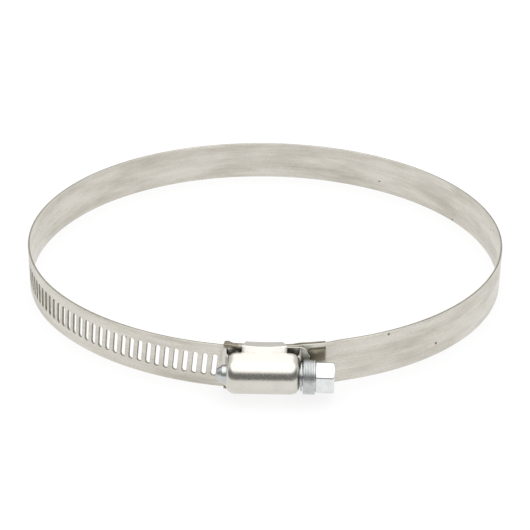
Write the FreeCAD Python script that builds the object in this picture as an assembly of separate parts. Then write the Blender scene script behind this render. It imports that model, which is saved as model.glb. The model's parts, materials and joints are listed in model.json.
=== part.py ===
import FreeCAD, Part
import math
import os

# Worm-drive hose clamp, fully open.
# The ring's axis is Z and its centre is the origin. The housing is at -Y, the screw head points to +X.
# All lengths are in millimetres, all angles in degrees, counted about Z from +X.

# ---- driving dimensions ----
band_width = 12.7
band_thickness = 0.6
ring_inner_radius = 71.6
sheet_thickness = 0.45           # housing cover
saddle_thickness = 0.37
nesting_gap = 0.08               # between the housing's folded tabs and the saddle that lies on them
sliding_gap = 0.1                # between the fixed band end and the tail that slides on it
joint_gap = 0.02                 # between neighbouring stretches of the band

thread_pitch = 2.7
thread_radius = 4.15
thread_depth = 1.0
thread_crest = 0.62
thread_root = 1.15
screw_axis_distance = 77.5       # from the ring's centre to the screw's axis
screw_lift_angle = 1.8           # the head leans away from the ring
screw_droop_angle = 0.3          # the head leans down
screw_centre_x = -0.28           # middle of the housing along X
screw_phase = -30.0              # turns the screw until its thread sits in the slots
thread_start = -8.8              # places along the screw's axis, counted from the middle of the housing
thread_end = 8.3
nose_tip = -12.4
nose_shoulder = -10.5
neck_end = 10.3
collar_end = 13.8
head_end = 18.8

slot_width = 1.3
slot_length = 6.5
slots_left_of_screw = 24         # on the tail, left of the slot at the bottom of the ring
slots_right_of_screw = 3
slots_on_last_link = 10

housing_left = -9.85
housing_right = 9.3
dome_radius = 4.95
dome_foot_radius = 74.45         # outer face of the flared foot, from the ring's centre
dome_flare = 1.25
dome_end_round = 1.3
tab_half_angle = 4.7             # the wrapped tabs take the middle of the housing
tab_side_clearance = 0.15
tab_reach = 4.2                  # half-distance between the folded ends under the saddle

nose_radius = 2.9
nose_tip_radius = 1.1
neck_radius = 2.5
neck_hole_clearance = 0.2
collar_radius = 4.6
hexagon_across_flats = 7.94
hexagon_turn = -22.0             # of the hexagon against the thread's start

link_count = 12
links_start = -72.0
spiral_start = 150.0             # the band leaves the circle here and runs out to the tail's radius
tail_tip = 279.6
tip_taper = 2.4                  # length over which the tail narrows to its tip
tip_half_width = 4.2
tip_chamfer = 0.9

fixed_end_start = -97.2
fixed_step_start = -83.6         # the fixed end steps down to the saddle between these two
fixed_step_end = -81.8
fixed_rise_start = -76.9         # and runs into the ring between these two
fixed_rise_end = -73.6
saddle_start = -98.6
saddle_step_start = -84.6        # the saddle steps down to the hose between these two
saddle_step_end = -82.6
saddle_end = -77.2
ear_start = -98.3                # the saddle's ears guide the tail's edges
ear_end = -94.9
ear_lip = 0.3                    # how far an ear reaches over the tail's face
fold_tab_start = -80.9           # the saddle's tabs go through the fixed end and fold over it
fold_tab_end = -77.3
fold_tab_height = 5.2            # half-distance between the slots that the tabs go through
fold_tab_reach = 1.2             # half-distance between the two folded tabs on the band's face
fold_tab_clearance = 0.08

# ---- radii that follow, from the hose outwards ----
fold_radius = ring_inner_radius                      # housing tabs folded under the saddle
saddle_radius = fold_radius + sheet_thickness + nesting_gap
fixed_end_radius = saddle_radius + saddle_thickness
tail_radius = fixed_end_radius + band_thickness + sliding_gap
tail_outer_radius = tail_radius + band_thickness
slot_step = math.degrees(thread_pitch / (tail_radius + band_thickness / 2))
links_end = 270.0 - (slots_left_of_screw + 0.5) * slot_step
link_step = (links_end - links_start) / link_count
slot_slant = math.degrees(math.atan(thread_pitch / (2 * math.pi * (thread_radius - 0.3))))

Z_AXIS = FreeCAD.Vector(0, 0, 1)
ORIGIN = FreeCAD.Vector(0, 0, 0)


def at(radius, angle, z=0.0):
    """Point at a radius and angle about the ring's axis."""
    turn = math.radians(angle)
    return FreeCAD.Vector(radius * math.cos(turn), radius * math.sin(turn), z)


def curve(radii, angles, z):
    """Arcs that run through the stations, each radius changing evenly between its two ends."""
    edges = []
    for k in range(len(angles) - 1):
        middle = at((radii[k] + radii[k + 1]) / 2, (angles[k] + angles[k + 1]) / 2, z)
        arc = Part.Arc(at(radii[k], angles[k], z), middle, at(radii[k + 1], angles[k + 1], z))
        edges.append(arc.toShape())
    return edges


def strip(radii, angles, thickness, half_width):
    """Sheet metal strip bent about Z: its inner face runs through the stations."""
    outer_radii = [radius + thickness for radius in radii]
    inner = curve(radii, angles, -half_width)
    outer = curve(outer_radii, angles, -half_width)
    first = Part.makeLine(at(radii[0], angles[0], -half_width), at(outer_radii[0], angles[0], -half_width))
    last = Part.makeLine(at(radii[-1], angles[-1], -half_width), at(outer_radii[-1], angles[-1], -half_width))
    outline = Part.Wire(Part.__sortEdges__(inner + [last] + outer + [first]))
    return Part.Face(outline).extrude(FreeCAD.Vector(0, 0, 2 * half_width))


def slot_tool(angle):
    """Slanted slot with round ends, cut along the radius at an angle of the ring."""
    straight = (slot_length - slot_width) / 2
    half = slot_width / 2
    lower_left = FreeCAD.Vector(-half, -straight, 0)
    lower_right = FreeCAD.Vector(half, -straight, 0)
    upper_right = FreeCAD.Vector(half, straight, 0)
    upper_left = FreeCAD.Vector(-half, straight, 0)
    outline = Part.Wire([
        Part.Arc(lower_left, FreeCAD.Vector(0, -straight - half, 0), lower_right).toShape(),
        Part.makeLine(lower_right, upper_right),
        Part.Arc(upper_right, FreeCAD.Vector(0, straight + half, 0), upper_left).toShape(),
        Part.makeLine(upper_left, lower_left),
    ])
    tool = Part.Face(outline).extrude(FreeCAD.Vector(0, 0, 8))
    tool.rotate(ORIGIN, Z_AXIS, -slot_slant)
    tool.rotate(ORIGIN, FreeCAD.Vector(1, 0, 0), 90)
    tool.translate(FreeCAD.Vector(0, -(tail_radius - 4), 0))
    tool.rotate(ORIGIN, Z_AXIS, angle - 270)
    return tool


def spiral_radius(angle):
    """Inner radius of the band: a circle that eases out to the tail's radius."""
    share = (angle - spiral_start) / (links_end - spiral_start)
    share = min(max(share, 0.0), 1.0)
    return ring_inner_radius + (tail_radius - ring_inner_radius) * share * share * (3 - 2 * share)


def band_link(number):
    """One stretch of the flexible band between the fixed end and the tail."""
    gap = math.degrees(joint_gap / ring_inner_radius)
    start = links_start + number * link_step + gap
    end = links_start + (number + 1) * link_step
    last_link = number == link_count - 1
    if last_link:
        end -= slot_step
    angles = [start, (start + end) / 2, end]
    link = strip([spiral_radius(angle) for angle in angles], angles, band_thickness, band_width / 2)
    if last_link:
        first_slot = -slots_left_of_screw - 2
        tools = [slot_tool(270 + (first_slot - k) * slot_step) for k in range(slots_on_last_link)]
        link = link.cut(Part.makeCompound(tools))
    return link


def band_tail():
    """Slotted free end of the band, its tip narrowed at both corners."""
    tail = strip([tail_radius, tail_radius], [links_end, tail_tip], band_thickness, band_width / 2)
    slots = range(-slots_left_of_screw, slots_right_of_screw + 1)
    tail = tail.cut(Part.makeCompound([slot_tool(270 + k * slot_step) for k in slots]))
    tip_x = tail_outer_radius * math.sin(math.radians(tail_tip - 270))
    taper_x = tip_x - tip_taper
    beyond_x = tip_x + 3
    beyond_z = band_width / 2 + 1
    for side in (-1, 1):
        corner = Part.makePolygon([
            FreeCAD.Vector(taper_x, 0, side * beyond_z),
            FreeCAD.Vector(taper_x, 0, side * band_width / 2),
            FreeCAD.Vector(tip_x - tip_chamfer, 0, side * (tip_half_width + tip_chamfer)),
            FreeCAD.Vector(tip_x, 0, side * tip_half_width),
            FreeCAD.Vector(beyond_x, 0, side * tip_half_width),
            FreeCAD.Vector(beyond_x, 0, side * beyond_z),
            FreeCAD.Vector(taper_x, 0, side * beyond_z),
        ])
        tool = Part.Face(corner).extrude(FreeCAD.Vector(0, -tail_outer_radius - 5, 0))
        tail = tail.cut(tool)
    return tail


def band_fixed_end():
    """End of the band held between the saddle and the housing, down to the first link."""
    high = fixed_end_radius
    clinched = saddle_radius
    low = ring_inner_radius
    angles = [fixed_end_start, fixed_step_start, fixed_step_end, fixed_rise_start, fixed_rise_end, links_start]
    end = strip([high, high, clinched, clinched, low, low], angles, band_thickness, band_width / 2)
    for side in (-1, 1):
        slot_start = side * (fold_tab_height - fold_tab_clearance)
        slot_end = side * (fold_tab_height + saddle_thickness + fold_tab_clearance)
        end = end.cut(sector(low, high + band_thickness, fold_tab_start - 0.1, fold_tab_end + 0.1,
                             slot_start, slot_end))
    return end


def saddle():
    """Plate under the band, with guiding ears at the left and fold-over tabs at the right."""
    high = saddle_radius
    low = ring_inner_radius
    angles = [saddle_start, saddle_step_start, saddle_step_end, saddle_end]
    plate = strip([high, high, low, low], angles, saddle_thickness, band_width / 2)
    for side in (-1, 1):
        plate = plate.fuse(guiding_ear(side)).fuse(fold_over_tab(side))
    return plate.removeSplitter()


def guiding_ear(side):
    """Ear that stands up along the tail's edge, with a narrow lip over the tail's face."""
    inner_wall = side * (band_width / 2 + tab_side_clearance)
    outer_wall = inner_wall + side * saddle_thickness
    plate_edge = side * (band_width / 2 - 0.3)
    under_radius = tail_outer_radius + sliding_gap
    top_radius = under_radius + saddle_thickness
    foot = sector(saddle_radius, fixed_end_radius, ear_start, ear_end, plate_edge, outer_wall)
    upright = sector(saddle_radius, top_radius, ear_start, ear_end, inner_wall, outer_wall)
    lip_edge = side * (band_width / 2 - ear_lip)
    lip = sector(under_radius, top_radius, ear_start, ear_end, lip_edge, outer_wall)
    return foot.fuse(upright).fuse(lip)


def fold_over_tab(side):
    """Tab that goes through a slot in the clinched band end and lies on its outer face."""
    inner_wall = side * fold_tab_height
    outer_wall = inner_wall + side * saddle_thickness
    under_radius = saddle_radius + band_thickness
    top_radius = under_radius + saddle_thickness
    upright = sector(ring_inner_radius, top_radius, fold_tab_start, fold_tab_end, inner_wall, outer_wall)
    cover = sector(under_radius, top_radius, fold_tab_start, fold_tab_end, side * fold_tab_reach, outer_wall)
    return upright.fuse(cover)


def sector(inner, outer, start, end, z_from, z_to):
    """Block between two radii, two angles and two heights."""
    low, high = min(z_from, z_to), max(z_from, z_to)
    block = strip([inner, inner], [start, end], outer - inner, (high - low) / 2)
    block.translate(FreeCAD.Vector(0, 0, (high + low) / 2))
    return block


def dome_section(crown_radius, flare_radius, foot_y, bottom_y):
    """Cross-section of the dome: a crown arc that runs into a flared foot on each side."""
    centre_y = -screw_axis_distance
    flare_y = foot_y - flare_radius
    reach = crown_radius + flare_radius
    flare_z = math.sqrt(reach ** 2 - (flare_y - centre_y) ** 2)
    share = crown_radius / reach
    meet_y = centre_y + (flare_y - centre_y) * share
    meet_z = flare_z * share
    towards_meet = FreeCAD.Vector(0, meet_y - flare_y, meet_z - flare_z).normalize()
    towards_middle = (towards_meet + FreeCAD.Vector(0, 1, 0)).normalize() * flare_radius
    crown = Part.Arc(
        FreeCAD.Vector(0, meet_y, -meet_z),
        FreeCAD.Vector(0, centre_y - crown_radius, 0),
        FreeCAD.Vector(0, meet_y, meet_z),
    )
    edges = [crown.toShape()]
    for side in (1, -1):
        meet = FreeCAD.Vector(0, meet_y, side * meet_z)
        middle = FreeCAD.Vector(0, flare_y + towards_middle.y, side * (flare_z + towards_middle.z))
        foot = FreeCAD.Vector(0, foot_y, side * flare_z)
        edges.append(Part.Arc(meet, middle, foot).toShape())
        if bottom_y > foot_y:
            edges.append(Part.makeLine(foot, FreeCAD.Vector(0, bottom_y, side * flare_z)))
    edges.append(Part.makeLine(FreeCAD.Vector(0, bottom_y, flare_z), FreeCAD.Vector(0, bottom_y, -flare_z)))
    return Part.Face(Part.Wire(Part.__sortEdges__(edges)))


def dome_solid(crown_radius, flare_radius, foot_y, bottom_y, left, right, end_round):
    """Solid with the dome's section, its crown rounded down at both ends."""
    section = dome_section(crown_radius, flare_radius, foot_y, bottom_y)
    solid = section.extrude(FreeCAD.Vector(right - left, 0, 0))
    solid.translate(FreeCAD.Vector(left, 0, 0))
    top = -screw_axis_distance - crown_radius
    slant = end_round * (1 - math.sqrt(0.5))
    below = bottom_y + 1
    edges = [
        Part.makeLine(FreeCAD.Vector(right, below, 0), FreeCAD.Vector(left, below, 0)),
        Part.makeLine(FreeCAD.Vector(left, below, 0), FreeCAD.Vector(left, top + end_round, 0)),
        Part.Arc(
            FreeCAD.Vector(left, top + end_round, 0),
            FreeCAD.Vector(left + slant, top + slant, 0),
            FreeCAD.Vector(left + end_round, top, 0),
        ).toShape(),
        Part.makeLine(FreeCAD.Vector(left + end_round, top, 0), FreeCAD.Vector(right - end_round, top, 0)),
        Part.Arc(
            FreeCAD.Vector(right - end_round, top, 0),
            FreeCAD.Vector(right - slant, top + slant, 0),
            FreeCAD.Vector(right, top + end_round, 0),
        ).toShape(),
        Part.makeLine(FreeCAD.Vector(right, top + end_round, 0), FreeCAD.Vector(right, below, 0)),
    ]
    side_view = Part.Face(Part.Wire(edges)).extrude(FreeCAD.Vector(0, 0, 2 * band_width))
    side_view.translate(FreeCAD.Vector(0, 0, -band_width))
    return solid.common(side_view)


def wrapped_tab(side):
    """Tab of the housing that goes round the band's edge and folds under the saddle."""
    inner_wall = band_width / 2 + tab_side_clearance
    outer_wall = inner_wall + sheet_thickness
    top = dome_foot_radius
    bottom = fold_radius
    under = fold_radius + sheet_thickness
    bend = 0.65
    start = 270 - tab_half_angle
    end = 270 + tab_half_angle
    block = sector(bottom, top, start, end, side * tab_reach, side * outer_wall)
    corners = []
    for edge in block.Edges:
        box = edge.BoundBox
        along_ring = box.ZLength < 1e-4 and box.XLength > 5
        if along_ring and abs(abs(edge.Vertexes[0].Z) - outer_wall) < 1e-3:
            corners.append(edge)
    block = block.makeFillet(bend, corners)
    hollow = sector(under, top - sheet_thickness, start - 1, end + 1, 0, side * inner_wall)
    above = sector(under + 1, top + 1, start - 1, end + 1, 0, side * (tab_reach + 1.2))
    return block.cut(hollow).cut(above)


def screw_placement():
    """From the screw's own axes, Z along it from nose to head, to its place in the housing."""
    towards_head = FreeCAD.Vector(
        math.cos(math.radians(screw_lift_angle)) * math.cos(math.radians(screw_droop_angle)),
        -math.sin(math.radians(screw_lift_angle)),
        -math.sin(math.radians(screw_droop_angle)),
    )
    turn = FreeCAD.Rotation(Z_AXIS, towards_head)
    return FreeCAD.Placement(FreeCAD.Vector(screw_centre_x, -screw_axis_distance, 0), turn)


def screw_hole(radius, start, length):
    """Round hole along the screw's axis."""
    hole = Part.makeCylinder(radius, length, FreeCAD.Vector(0, 0, start), Z_AXIS)
    hole.Placement = screw_placement().multiply(hole.Placement)
    return hole


def housing_cover():
    """Drawn cup over the screw, open towards the band, with its two wrapped tabs."""
    foot = -dome_foot_radius
    bottom = foot + sheet_thickness
    outside = dome_solid(dome_radius, dome_flare, foot, bottom, housing_left, housing_right, dome_end_round)
    inside = dome_solid(
        dome_radius - sheet_thickness,
        dome_flare + sheet_thickness,
        bottom,
        bottom,
        housing_left + sheet_thickness,
        housing_right - sheet_thickness,
        dome_end_round - sheet_thickness,
    )
    cover = outside.cut(inside)
    cover = cover.cut(screw_hole(neck_radius + neck_hole_clearance, 4, 10))
    cover = cover.cut(screw_hole(nose_radius + neck_hole_clearance, -14, 10))
    for side in (1, -1):
        cover = cover.fuse(wrapped_tab(side))
    return cover.removeSplitter()


def worm_thread(start, length):
    """Right-hand trapezoidal thread, trimmed square at both ends."""
    run_out = thread_pitch
    helix = Part.makeHelix(thread_pitch, length + 2 * run_out, thread_radius)
    base = thread_radius - thread_depth - 0.1
    base_half = thread_root / 2 + 0.03
    crest_half = thread_crest / 2
    profile = Part.makePolygon([
        FreeCAD.Vector(base, 0, -base_half),
        FreeCAD.Vector(thread_radius, 0, -crest_half),
        FreeCAD.Vector(thread_radius, 0, crest_half),
        FreeCAD.Vector(base, 0, base_half),
        FreeCAD.Vector(base, 0, -base_half),
    ])
    thread = Part.Wire(helix.Edges).makePipeShell([profile], True, True)
    thread.translate(FreeCAD.Vector(0, 0, start - run_out))
    span = Part.makeCylinder(thread_radius + 1, length, FreeCAD.Vector(0, 0, start), Z_AXIS)
    return thread.common(span)


def worm_screw():
    """Screw with a rounded nose, worm thread, neck, collar and hexagon head."""
    core_radius = thread_radius - thread_depth
    chamfer = 0.25
    chamfer_length = 0.4
    half = [
        FreeCAD.Vector(0, 0, nose_tip),
        FreeCAD.Vector(nose_tip_radius, 0, nose_tip),
        FreeCAD.Vector(nose_radius, 0, nose_shoulder),
        FreeCAD.Vector(nose_radius, 0, thread_start),
        FreeCAD.Vector(core_radius, 0, thread_start),
        FreeCAD.Vector(core_radius, 0, thread_end),
        FreeCAD.Vector(neck_radius, 0, thread_end),
        FreeCAD.Vector(neck_radius, 0, neck_end),
        FreeCAD.Vector(collar_radius - chamfer, 0, neck_end),
        FreeCAD.Vector(collar_radius, 0, neck_end + chamfer_length),
        FreeCAD.Vector(collar_radius, 0, collar_end - chamfer_length),
        FreeCAD.Vector(collar_radius - chamfer, 0, collar_end),
        FreeCAD.Vector(0, 0, collar_end),
        FreeCAD.Vector(0, 0, nose_tip),
    ]
    turned = Part.Face(Part.makePolygon(half)).revolve(ORIGIN, Z_AXIS, 360)
    corner_radius = hexagon_across_flats / math.sqrt(3)
    corners = [at(corner_radius, 60 * k + hexagon_turn, collar_end - 0.1) for k in range(7)]
    head = Part.Face(Part.makePolygon(corners)).extrude(FreeCAD.Vector(0, 0, head_end - collar_end + 0.1))
    cone_length = 10
    cone_top = corner_radius - 0.45
    cone_base = corner_radius + 5.2
    cone_start = FreeCAD.Vector(0, 0, head_end - cone_length)
    cone = Part.makeCone(cone_base, cone_top, cone_length, cone_start, Z_AXIS)
    head = head.common(cone)
    screw = turned.fuse(head).fuse(worm_thread(thread_start, thread_end - thread_start))
    screw = screw.removeSplitter()
    screw.rotate(ORIGIN, Z_AXIS, screw_phase)
    screw.Placement = screw_placement().multiply(screw.Placement)
    return screw


def main():
    os.makedirs("parts", exist_ok=True)
    pieces = {
        "band_fixed_end": band_fixed_end(),
        "band_tail": band_tail(),
        "saddle": saddle(),
        "housing_cover": housing_cover(),
        "worm_screw": worm_screw(),
    }
    for number in range(link_count):
        pieces[f"band_link_{number + 1:02d}"] = band_link(number)
    for name, shape in pieces.items():
        shape.Solids[0].exportStep(f"parts/{name}.step")
        print(name, len(shape.Solids), shape.isValid(), round(shape.Volume, 2))


main()
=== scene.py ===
"""Worm-drive hose clamp: band, saddle, screw housing and screw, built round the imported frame."""

import json
import math

import bmesh
import bpy
from mathutils import Matrix, Vector


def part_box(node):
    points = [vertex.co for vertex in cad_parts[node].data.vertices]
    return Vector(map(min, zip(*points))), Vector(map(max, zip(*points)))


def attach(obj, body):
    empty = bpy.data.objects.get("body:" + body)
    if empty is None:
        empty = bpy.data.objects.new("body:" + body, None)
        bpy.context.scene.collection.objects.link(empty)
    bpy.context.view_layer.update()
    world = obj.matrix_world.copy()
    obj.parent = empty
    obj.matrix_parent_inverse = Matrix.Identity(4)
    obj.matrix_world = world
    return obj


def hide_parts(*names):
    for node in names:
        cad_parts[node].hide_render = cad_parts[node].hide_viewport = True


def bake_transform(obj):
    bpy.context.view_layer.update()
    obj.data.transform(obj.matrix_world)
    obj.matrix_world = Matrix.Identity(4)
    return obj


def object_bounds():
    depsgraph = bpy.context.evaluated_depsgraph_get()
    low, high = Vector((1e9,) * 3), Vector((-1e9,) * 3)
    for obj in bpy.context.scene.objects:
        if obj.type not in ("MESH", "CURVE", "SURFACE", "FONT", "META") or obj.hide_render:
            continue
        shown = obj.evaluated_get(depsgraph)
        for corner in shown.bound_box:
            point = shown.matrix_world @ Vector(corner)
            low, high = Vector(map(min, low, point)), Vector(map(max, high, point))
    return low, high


bl_info = {
    "name": "Worm-drive hose clamp",
    "version": (1, 0, 0),
    "blender": (4, 5, 0),
    "location": "View3D > Sidebar > Hose clamp",
    "description": "Builds a worm-drive hose clamp and a plain studio",
    "category": "Add Mesh",
}

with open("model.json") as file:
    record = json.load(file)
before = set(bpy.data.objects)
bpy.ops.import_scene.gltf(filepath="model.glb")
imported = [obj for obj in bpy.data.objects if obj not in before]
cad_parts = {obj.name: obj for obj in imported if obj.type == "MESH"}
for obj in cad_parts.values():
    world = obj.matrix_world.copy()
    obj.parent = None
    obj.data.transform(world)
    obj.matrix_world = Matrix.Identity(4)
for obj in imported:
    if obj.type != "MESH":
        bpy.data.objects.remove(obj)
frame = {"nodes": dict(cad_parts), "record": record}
cad_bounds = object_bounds()

MM = 0.001


def joint(name):
    """A joint of the frame, by name."""
    return next(j for j in frame["record"]["behaviour"]["joints"] if j["name"] == name)


def mount(name):
    """A mount of the frame, by name."""
    return next(m for m in frame["record"]["mounts"] if m["name"] == name)


def angle_of(x, y):
    """Angle about the ring's axis, in degrees from +X."""
    return math.degrees(math.atan2(y, x))


# ---- what the frame already says: lengths in metres, angles in degrees about the ring's axis ----
RING_RADIUS = mount("hose_bore")["dims"]["r_mm"] * MM
BAND_WIDTH = mount("hose_bore")["dims"]["length_mm"] * MM
HOUSING_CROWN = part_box("housing_cover")[0][1]      # y of the housing's outer face, over the screw
SCREW_POINT = Vector(joint("screw_turn")["pos_m"])
TOWARDS_HEAD = -Vector(joint("screw_turn")["axis"])
LINK_COUNT = sum(name.startswith("band_link") for name in frame["nodes"])
LINKS_START = angle_of(*joint("band_flex_01")["pos_m"][:2])
LAST_LINK_START = angle_of(*joint(f"band_flex_{LINK_COUNT:02d}")["pos_m"][:2])
LINK_STEP = (LAST_LINK_START - LINKS_START) % 360 / (LINK_COUNT - 1)
SPLICE = LINKS_START + LINK_COUNT * LINK_STEP
SCREW_TURNS = joint("screw_turn")["range_deg"][1] / 360
SLOT_STEP = joint("band_feed")["range_deg"][1] / SCREW_TURNS   # a turn of the screw feeds one slot
BOTTOM = 270                       # where the screw lies

# ---- what the design adds to the band: places are angles about the ring's axis ----
GAP = 0.1 * MM                     # between sheets that lie on each other
TAIL_RADIUS = 73.2 * MM            # inner face of the tail
TAIL_END = 279.2
SPIRAL_START = 150                 # the loop leaves its circle here
FIXED_START = -97.2
FIXED_STEP_DOWN = -83.6            # the held end steps down with the saddle
FIXED_DOWN_LENGTH = 1.8
FIXED_STEP_OUT = -76.9             # and, past the saddle, onto the circle of the loop
FIXED_OUT_LENGTH = 3.3
SLOT_END_STEPS = 8                 # faces round each end of a slot
PLAIN_STEP = 1.5                   # longest face along a plain stretch

# ---- the saddle ----
SADDLE_START = -98.6
SADDLE_STEP = -84.6                # steps down from the housing's folded tabs onto the hose
SADDLE_STEP_LENGTH = 2
SADDLE_END = -77.2
SADDLE_SOFT_EDGE = 0.07 * MM
EAR_PEAK = -9.66 * MM              # along X, where an ear is tallest
EAR_PLACES = [x * MM for x in (-10.7, -10.45, -10.2, -9.93, -9.66, -9.2, -8.6, -8.0, -7.4, -6.8, -6.3)]
EAR_CLEARANCE = 0.02 * MM          # between an ear and the band's edge
EAR_RISE = 0.14 * MM               # how far an ear leans out at its peak
EAR_FALL = 0.5 * MM                # and how far its far end comes in over the tail
EAR_CURL = 0.2 * MM                # bend into the lip over the tail
EAR_LIP = 0.3 * MM                 # reach of the lip over the tail's face
EAR_LIP_DEPTH = 0.05 * MM          # what is left of the ear's height at its far end, under the lip
FOLD_TAB_START = -80.9
FOLD_TAB_END = -77.3
FOLD_TAB_HEIGHT = 5.2 * MM
FOLD_TAB_BEND = 0.8 * MM
FOLD_TAB_GAP = 1.2 * MM            # from the middle of the band to the end of a fold-over tab
FOLD_TAB_APPROACH = -81.8          # the last row of faces before the fold-over tabs

# ---- the housing: along the screw, from its middle ----
HOUSING_START = -10.05 * MM
HOUSING_END = 9.05 * MM
HOUSING_EDGE = -75.3 * MM          # y where the long edges stop, short of the band
HOUSING_SOFT_EDGE = 0.09 * MM
EDGE_SWELL = 1.0 * MM              # how far the edges rise over the middle of the wrapped tabs
END_DRAW = 1.5 * MM                # how far the housing is drawn in at its ends
NOSE_HOLE = 2.65 * MM              # radius of the holes in the end walls
NECK_HOLE = 2.9 * MM
NOSE_FLANGE = 1.6 * MM             # reach of the flanges at the foot of the end walls
NECK_FLANGE = 0.85 * MM
FLANGE_TOP = 6.1 * MM              # half the height of the flanges
FLANGE_CORNER = 0.25               # share of its reach that a flange keeps at its corners
TAB_MIDDLE = -0.2 * MM
TAB_CLEARANCE = 0.15 * MM          # between a wrapped tab and the band's edge
TAB_SHOULDER = -73.9 * MM          # y where a tab bends round the band's edge
TAB_SWELL = 0.8 * MM               # how far the shoulder rises in the middle of a tab
TAB_CREASE = 0.15 * MM             # straight run of the long wall before a tab bends out
TAB_BEND = 0.4 * MM
TAPER_MARGIN = 0.3 * MM            # a tab narrows between its two bends, this far from each

# ---- the screw: along its axis, from the middle of the housing ----
NOSE_TIP = -12.4 * MM
NOSE_TIP_RADIUS = 1.5 * MM
NOSE_TAPER_END = -10.9 * MM
NOSE_RADIUS = 2.45 * MM
NOSE_BEND = 0.35 * MM
THREAD_START = -8.8 * MM
THREAD_END = 8.3 * MM
THREAD_DEPTH = 1.0 * MM
THREAD_CREST = 0.31 * MM           # half the width of the crest
THREAD_ROOT = 0.58 * MM            # and of the thread at its root
THREAD_RUN_OUT = 0.5 * MM
THREAD_PHASE = -30                 # degrees about the screw where the thread starts
THREAD_ROWS = 200
NECK_RADIUS = 2.5 * MM
STOP_RING_START = 9.62 * MM        # ring that keeps the screw from going in
STOP_RING_END = 10.08 * MM
STOP_RING_RADIUS = 3.8 * MM
STOP_RING_BEVEL = (0.1 * MM, 0.08 * MM)
COLLAR_START = 10.3 * MM
COLLAR_END = 13.55 * MM
COLLAR_RADIUS = 4.6 * MM
COLLAR_START_BEVEL = 0.3 * MM
COLLAR_END_BEVEL = 0.2 * MM
GROOVES = (10.9 * MM, 12.9 * MM, 6)    # first, last and number of the turned grooves of the collar
GROOVE_HALF_WIDTH = 0.1 * MM
GROOVE_DEPTH = 0.07 * MM
UNDERCUT_RADIUS = 3.85 * MM
HEAD_START = 13.75 * MM
HEAD_TOP = 18.5 * MM
HEAD_ROWS = (2.8, 0.7, 0.5, 0.35, 0.23, 0.13, 0.05, 0)     # millimetres below the top of the head
HEAD_ROUNDING = (0.85 * MM, 0.75 * MM)     # how far the rim of the head comes in, and how deep it starts
HEAD_ROUNDING_START = 0.02 * MM    # the rounding starts this far outside the corners
HEXAGON_CORNER = 240               # degrees about the screw
HEXAGON_BLUNTING = 0.1 * MM        # what the corners lose
DISH_RADIUS = 3.0 * MM             # hollow in the top of the head
DISH_BEVEL = 0.3 * MM
DISH_DEPTH = 0.15 * MM
SCREW_SIDES = 120

# ---- the stage ----
CEILING = 1.75                     # brightness of the light above, the backdrop and the near side
BACKDROP = 0.8
NEAR_ROOM = 0.2
CEILING_RISE = (0.62, 0.82)        # Z of a direction where the ceiling's light starts and is full
BACKDROP_RISE = (-0.25, 0.35)      # Y of a direction where the room ends and the backdrop is full
FLOOR_GLOW = 0.84
FLOOR_HALF = 2.5                   # half the side of the floor, in metres
FLOOR_CLOUD = 10 * MM


def hex_to_linear(code):
    """sRGB hex colour to the linear values that shaders use."""
    channels = [int(code[k:k + 2], 16) / 255 for k in (1, 3, 5)]
    return tuple(c / 12.92 if c <= 0.04045 else ((c + 0.055) / 1.055) ** 2.4 for c in channels)


def length(name, description, millimetres):
    """A length property whose default is given in millimetres."""
    return bpy.props.FloatProperty(name=name, description=description, default=millimetres * MM,
                                   precision=5, unit="LENGTH")


def angle(name, description, degrees):
    """An angle property whose default is given in degrees."""
    return bpy.props.FloatProperty(name=name, description=description, default=math.radians(degrees),
                                   unit="ROTATION")


def colour(name, description, code):
    """A colour property whose default is an sRGB hex code."""
    return bpy.props.FloatVectorProperty(name=name, description=description, subtype="COLOR",
                                         min=0, max=1, default=hex_to_linear(code))


class ClampSizes(bpy.types.PropertyGroup):
    """Sizes of the clamp"""
    band_thickness: length("Band thickness", "Thickness of the rolled strip", 0.6)
    band_edge: length("Band edge", "Rounding of the strip's slit edges", 0.12)
    slot_width: length("Slot width", "Width of a punched slot", 1.3)
    slot_length: length("Slot length", "Length of a punched slot", 6.5)
    slot_edge: length("Slot edge", "Rounding of a slot's rim", 0.07)
    slot_slant: angle("Slot slant", "Lean of the slots, the thread's helix angle", 6.4)
    slots_left: bpy.props.IntProperty(
        name="Slots left of the screw", description="Slots from the screw to the start of the slots",
        default=35)
    slots_right: bpy.props.IntProperty(
        name="Slots right of the screw", description="Slots from the screw to the tail's tip",
        default=3)
    tip_corner: length("Tip corner", "Rounding of the tail's two corners", 3.2)
    housing_sheet: length("Housing sheet", "Thickness of the housing", 0.45)
    housing_lean: angle("Housing lean", "How far the housing's long walls lean in towards the screw", 12.0)
    housing_end: length("Housing end", "Length of the rounding at each end of the housing", 2.4)
    tab_length: length("Tab length", "Length of the wrapped tabs along the screw", 11.8)
    tab_taper: bpy.props.FloatProperty(
        name="Tab taper", description="Share of its length that a wrapped tab keeps at its fold",
        default=0.82, subtype="FACTOR", min=0, max=1)
    tab_reach: length("Tab reach", "Half the distance between the folded tabs' ends", 4.2)
    saddle_sheet: length("Saddle sheet", "Thickness of the saddle", 0.37)
    thread_pitch: length("Thread pitch", "Pitch of the worm thread", 2.7)
    thread_radius: length("Thread radius", "Outer radius of the worm thread", 4.15)
    hexagon: length("Hexagon", "Distance across the flats of the screw's head", 7.94)


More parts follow.
